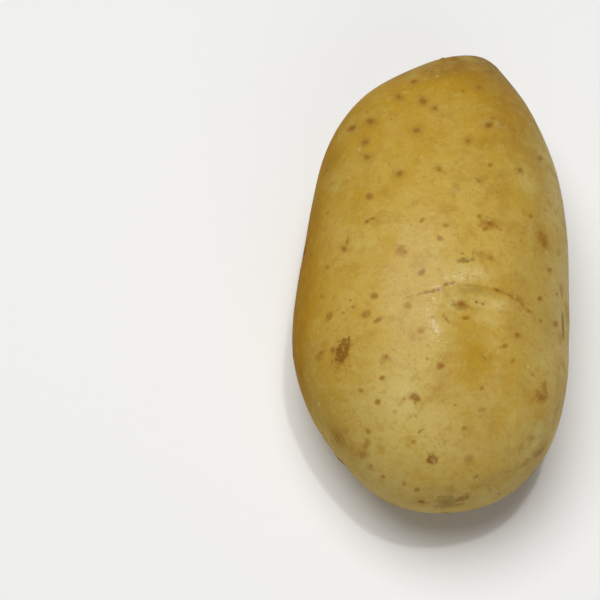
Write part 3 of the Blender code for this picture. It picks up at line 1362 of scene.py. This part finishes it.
@dataclass(frozen=True)
class SkinFinish:
    """Thin potato skin: yellow flesh showing through, mottled and speckled, with a dull gloss. Its colour
    also carries painted shade on its left and right sides and at its stem end, and a painted reflection on
    its right rim.

    A fade is the two values between which something comes in: places in metres along or across
    the potato, slants of the surface from -1 to 1, noise from 0 to 1, or depths inside a mark.

    Args:
        stem_colour: its linear colour towards the stem end.
        middle_colour: its colour around the middle.
        bud_colour: its colour towards the bud end.
        left_shade_colour: the darker, deeper orange colour that its left side tends to: painted shade with
            painted orange bounce light.
        right_shade_colour: the darker, greyer colour that its right side tends to: painted shade.
        rim_reflection_colour: the paler, whiter colour that that side tends to at its outermost: a painted
            reflection.
        tip_colour: what its stem tip tends to.
        left_shade_tint: what its left side's mottled colour is multiplied by: painted shade, darker and
            deeper orange.
        stem_shade_tint: what its stem end's mottled colour is multiplied by: painted shade, darker and
            yellower.
        mottles: the layers of uneven colour over that.
        bud_fade: where the middle's colour comes in, from the bud end.
        stem_fade: where the stem colour comes in.
        tip_fade: where the tip colour does.
        left_fade: where the left colour does.
        right_fade: where the right colour does.
        right_share: how much of it shows at most.
        rim_fade: where the rim colour comes in.
        left_shade_tint_fade: how far the skin is turned to the left as that painted shade comes in.
        stem_shade_tint_fade: where that painted shade at the stem end comes in.
        upward_fade: how far the skin faces up as the stem and tip colours and the painted shade at the stem
            end come in.
        upper_fade: how far it does so as the painted shade of the left colour and the left tint and the
            painted reflection of the rim colour come in.
        upper_share: how much of those shows at most.
        lean: how much a turn to the stem end counts as one to the left.
        wander: how far those places wander about, in metres.
        wander_mm: the size of the noise that makes them.
        side_wander: how much of it counts across the potato.
        speck_colour: the fine specks' linear colour.
        speck_mm: the size of the noise that makes them.
        speck_fade: the noise between which a speck comes in.
        speck_share: how strong they are.
        crowd_mm: the size of the noise that crowds them.
        crowd_fade: the noise between which they crowd.
        stain_from: how far outside its outline a stain starts, where negative.
        stain_detail: how many finer layers the noise of its edge has.
        core_fade: how deep inside a stain its core colour comes in.
        roughness: how dull the skin is.
        roughness_change: by how much that varies either way.
        roughness_mm: the size of the noise that varies it.
        scab_fade: how deep inside a scab it is duller.
        scab_roughness: by how much.
        refraction: the skin's index of refraction.
        wax: how strong its thin waxy layer is.
        wax_refraction: that layer's index of refraction.
        wax_roughness: how dull that layer is.
        wax_grain: how much of the skin's grain it keeps.
        wax_fade: how far the skin is turned to the left as that layer comes in, from the side.
        grains: the size and depth of each layer of pebbly grain, in millimetres.
        depth: how much light scatters inside.
        depth_mm: how far it does.
        spread: how far each of its colours does so, over that.
    """

    stem_colour: Colour = (0.460, 0.270, 0.018)
    middle_colour: Colour = (0.525, 0.355, 0.068)
    bud_colour: Colour = (0.505, 0.360, 0.088)
    left_shade_colour: Colour = (0.430, 0.225, 0.007)
    right_shade_colour: Colour = (0.400, 0.268, 0.053)
    rim_reflection_colour: Colour = (0.680, 0.520, 0.190)
    tip_colour: Colour = (0.270, 0.145, 0.012)
    left_shade_tint: Colour = (0.90, 0.80, 0.20)
    stem_shade_tint: Colour = (0.96, 0.92, 0.72)
    mottles: tuple[Mottle, ...] = (
        Mottle(16.0, 3.0, 0.48, 0.66, 0.45, (0.44, 0.255, 0.012)),
        Mottle(11.0, 3.0, 0.48, 0.70, 0.45, (0.56, 0.420, 0.100)),
        Mottle(5.5, 3.0, 0.50, 0.76, 0.60, (0.38, 0.210, 0.020)),
        Mottle(2.4, 2.0, 0.50, 0.74, 0.34, (0.37, 0.190, 0.022)),
        Mottle(2.9, 2.0, 0.52, 0.74, 0.28, (0.57, 0.430, 0.120)),
        Mottle(1.1, 1.0, 0.52, 0.78, 0.22, (0.34, 0.170, 0.024)),
        Mottle(0.8, 1.0, 0.54, 0.76, 0.16, (0.60, 0.460, 0.150)),
    )
    bud_fade: Span = (-0.045, -0.010)
    stem_fade: Span = (-0.005, 0.040)
    tip_fade: Span = (0.037, 0.054)
    left_fade: Span = (-0.0205, -0.031)
    right_fade: Span = (0.013, 0.025)
    right_share: float = 0.75
    rim_fade: Span = (0.021, 0.029)
    left_shade_tint_fade: Span = (0.76, 0.97)
    stem_shade_tint_fade: Span = (0.024, 0.050)
    upward_fade: Span = (-0.20, 0.38)
    upper_fade: Span = (-0.60, 0.15)
    upper_share: float = 0.90
    lean: float = 0.1
    wander: float = 0.018
    wander_mm: float = 22.0
    side_wander: float = 0.35
    speck_colour: Colour = (0.30, 0.14, 0.025)
    speck_mm: float = 0.55
    speck_fade: Span = (0.58, 0.76)
    speck_share: float = 0.26
    crowd_mm: float = 7.0
    crowd_fade: Span = (0.35, 0.70)
    stain_from: float = -0.1
    stain_detail: float = 3.0
    core_fade: Span = (0.45, 1.0)
    roughness: float = 0.85
    roughness_change: float = 0.08
    roughness_mm: float = 3.0
    scab_fade: Span = (0.0, 0.6)
    scab_roughness: float = 0.25
    refraction: float = 1.22
    wax: float = 0.10
    wax_refraction: float = 1.8
    wax_roughness: float = 0.18
    wax_grain: float = 0.85
    wax_fade: Span = (0.85, 0.40)
    grains: Sequence[Span] = ((1.0, 0.055), (0.4, 0.030))
    depth: float = 0.12
    depth_mm: float = 1.6
    spread: Colour = (1.0, 0.55, 0.2)

    def make(self) -> bpy.types.Material:
        """Build the material.

        Returns:
            The material.
        """
        graph = Graph("potato_skin")
        colour = self.ground(graph)
        colour = self.stained(graph, colour, deep=False)
        shader = graph.shader.inputs
        graph.feed(shader["Base Color"], colour)
        graph.feed(shader["Metallic"], 0.0)
        graph.feed(shader["Roughness"], self.gloss(graph))
        graph.feed(shader["IOR"], self.refraction)
        coat = graph.ramp(self.roundness(graph), *self.wax_fade, self.wax)
        graph.feed(shader["Coat Weight"], coat)
        graph.feed(shader["Coat IOR"], self.wax_refraction)
        graph.feed(shader["Coat Roughness"], self.wax_roughness)
        graph.feed(shader["Subsurface Weight"], self.depth)
        graph.feed(shader["Subsurface Scale"], self.depth_mm * MM)
        shader["Subsurface Radius"].default_value = self.spread
        graph.feed(shader["Normal"], self.pebbles(graph, 1.0))
        graph.feed(shader["Coat Normal"], self.pebbles(graph, self.wax_grain))
        return graph.material

    def ground(self, graph: Graph) -> Socket:
        """The skin's colour without its marks, with painted shade on its sides and stem end and a painted
        reflection on its right rim.

        Args:
            graph: the material's nodes.

        Returns:
            The colour.
        """
        split = graph.tree.nodes.new("ShaderNodeSeparateXYZ")
        graph.feed(split.inputs["Vector"], graph.coordinates())
        blobs = graph.noise(self.wander_mm)
        wander = graph.reckon("MULTIPLY_ADD", blobs, 2.0 * self.wander, -self.wander)
        along = graph.reckon("ADD", split.outputs["Y"], wander)
        aside = graph.reckon("MULTIPLY", wander, self.side_wander)
        side = graph.reckon("ADD", split.outputs["X"], aside)
        upward = graph.ramp(graph.slant("Z", 1.0), *self.upward_fade)
        upper = graph.ramp(graph.slant("Z", 1.0), *self.upper_fade, self.upper_share)
        bud = graph.ramp(along, *self.bud_fade)
        colour = graph.blend(bud, self.bud_colour, self.middle_colour)
        # Of these tints, the left and right ones are painted shade and the rim one a painted reflection.
        for place, fade, most, tint in (
            (along, self.stem_fade, upward, self.stem_colour),
            (side, self.left_fade, upper, self.left_shade_colour),
            (side, self.right_fade, self.right_share, self.right_shade_colour),
            (side, self.rim_fade, upper, self.rim_reflection_colour),
            (along, self.tip_fade, upward, self.tip_colour),
        ):
            colour = graph.blend(graph.ramp(place, *fade, most), colour, tint)
        colour = self.stained(graph, colour, deep=True)
        for mottle in self.mottles:
            colour = mottle.lay(graph, colour)
        # Painted shade: darker and deeper orange on the left side, darker and yellower at the stem end.
        painted_shade = graph.ramp(self.roundness(graph), *self.left_shade_tint_fade, upper)
        colour = graph.blend(painted_shade, colour, self.left_shade_tint, "MULTIPLY")
        painted_shade = graph.ramp(along, *self.stem_shade_tint_fade, upward)
        colour = graph.blend(painted_shade, colour, self.stem_shade_tint, "MULTIPLY")
        return self.specks(graph, colour)

    def roundness(self, graph: Graph) -> Socket:
        """How far the skin has turned to the left, where painted shade makes it darker and deeper orange,
        and where it is less shiny.
        """
        return graph.reckon("ADD", graph.slant("X", -1.0), graph.slant("Y", self.lean))

    def specks(self, graph: Graph, colour: Socket) -> Socket:
        """Fine brown specks over the ground, denser in some places.

        Args:
            graph: the material's nodes.
            colour: the ground.

        Returns:
            The specked colour.
        """
        crowd = graph.ramp(graph.noise(self.crowd_mm), *self.crowd_fade, self.speck_share)
        speck = graph.ramp(graph.noise(self.speck_mm, 0.0), *self.speck_fade, crowd)
        return graph.blend(speck, colour, self.speck_colour)

    def stained(self, graph: Graph, colour: Socket, deep: bool) -> Socket:
        """The colour with marks laid over it.

        Args:
            graph: the material's nodes.
            colour: the colour below.
            deep: whether to lay the marks under the mottling or those over it.

        Returns:
            The stained colour.
        """
        for pigment, stain in STAINS.items():
            if stain.deep is not deep:
                continue
            shape = graph.attribute(pigment.value + "_shape")
            tone = graph.attribute(pigment.value + "_tone")
            wobble = graph.noise(stain.grain_mm, self.stain_detail, BLOTCHY)
            push = graph.reckon("MULTIPLY_ADD", wobble, 2.0 * stain.ragged, -stain.ragged)
            edge = graph.reckon("ADD", shape, push)
            cover = graph.reckon("MULTIPLY", tone, stain.cover)
            share = graph.ramp(edge, self.stain_from, stain.soft + self.stain_from, cover)
            tint = graph.blend(graph.ramp(edge, *self.core_fade), stain.colour, stain.core)
            colour = graph.blend(share, colour, tint)
        return colour

    def gloss(self, graph: Graph) -> Socket:
        """The skin's roughness: a little uneven, and duller on scabs.

        Args:
            graph: the material's nodes.

        Returns:
            The roughness.
        """
        change = self.roughness_change
        blobs = graph.noise(self.roughness_mm, 3.0)
        uneven = graph.reckon("MULTIPLY_ADD", blobs, 2.0 * change, self.roughness - change)
        shape = graph.attribute(Pigment.SCAB.value + "_shape")
        scab = graph.ramp(shape, *self.scab_fade, self.scab_roughness)
        return graph.reckon("ADD", uneven, scab)

    def pebbles(self, graph: Graph, strength: float) -> Socket:
        """The skin's pebbly grain.

        Args:
            graph: the material's nodes.
            strength: how much of it to show.

        Returns:
            The bumped normal.
        """
        normal: Optional[Socket] = None
        for size_mm, depth_mm in self.grains:
            normal = graph.bump(graph.noise(size_mm, 1.0), depth_mm * strength, normal)
        return normal


@dataclass(frozen=True)
class Lamp:
    """A soft round lamp over the potato.

    Args:
        name: what it is called.
        place: where it hangs, in metres.
        size: its width, in metres.
        watts: its power.
    """

    name: str
    place: tuple[float, float, float]
    size: float
    watts: float

    def hang(self, target: Vector) -> bpy.types.Object:
        """Hang the lamp, turned to a target.

        Args:
            target: what it shines on.

        Returns:
            The lamp's object.
        """
        data = bpy.data.lights.new(self.name, "AREA")
        data.shape = "DISK"
        data.size = self.size
        data.energy = self.watts
        lamp = bpy.data.objects.new(self.name, data)
        lamp.location = self.place
        lamp.rotation_euler = (target - Vector(self.place)).to_track_quat("-Z", "Y").to_euler()
        bpy.context.scene.collection.objects.link(lamp)
        return lamp


@dataclass
class Studio:
    """A plain pale floor under plain soft light.

    Args:
        floor_side: the floor's side, in metres.
        floor_colour: its linear colour.
        floor_roughness: how dull it is.
        sky: how bright the room is around it.
        target: what the lamps shine on, in metres.
        lamps: the lamps over it.
    """

    floor_side: float = 4.0
    floor_colour: Colour = (0.87, 0.87, 0.86)
    floor_roughness: float = 0.9
    sky: float = 0.12
    target: tuple[float, float, float] = (0.0, 0.0, 0.02)
    lamps: tuple[Lamp, ...] = (
        Lamp("soft_key", (-0.14, 0.12, 1.00), 0.70, 7.70),
        Lamp("small_lamp", (0.07, 0.03, 1.14), 0.05, 1.9),
        Lamp("front_fill", (0.25, -1.00, 0.75), 0.80, 2.0),
    )

    def build(self) -> bpy.types.Object:
        """Lay the floor, hang the lamps and light the room.

        Returns:
            The floor.
        """
        for lamp in self.lamps:
            lamp.hang(Vector(self.target))
        world = bpy.data.worlds.new("studio")
        bpy.context.scene.world = world
        world.use_nodes = True
        room = world.node_tree.nodes["Background"].inputs
        room["Strength"].default_value = self.sky
        room["Color"].default_value = (1.0, 1.0, 1.0, 1.0)
        bpy.context.scene.view_settings.view_transform = "Standard"
        return self.floor()

    def floor(self) -> bpy.types.Object:
        """Lay the floor.

        Returns:
            The floor's object.
        """
        sheet = bmesh.new()
        bmesh.ops.create_grid(sheet, x_segments=1, y_segments=1, size=self.floor_side / 2.0)
        mesh = bpy.data.meshes.new("floor")
        sheet.to_mesh(mesh)
        sheet.free()
        graph = Graph("pale_paper")
        graph.feed(graph.shader.inputs["Base Color"], self.floor_colour)
        graph.feed(graph.shader.inputs["Roughness"], self.floor_roughness)
        mesh.materials.append(graph.material)
        floor = bpy.data.objects.new("floor", mesh)
        bpy.context.scene.collection.objects.link(floor)
        return floor


def main() -> None:
    """Build the camera, the skin and the studio, and report each piece."""
    logging.basicConfig(level=logging.INFO, format="%(name)s: %(message)s")
    lens = Lens()
    lens.make_camera()
    solid = Solid(NODE)
    maker = SkinMaker(solid, lens)
    maker.dress()
    LOG.info("%d marks and %d brows", len(maker.marks), len(maker.brows))
    skin = Skin(solid, maker).build()
    skin.data.materials.append(SkinFinish().make())
    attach(skin, BODY)
    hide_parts(NODE)
    LOG.info("%s: %d faces", skin.name, len(skin.data.polygons))
    Studio().build()
    LOG.info("studio with its floor")


if __name__ == "__main__":
    main()
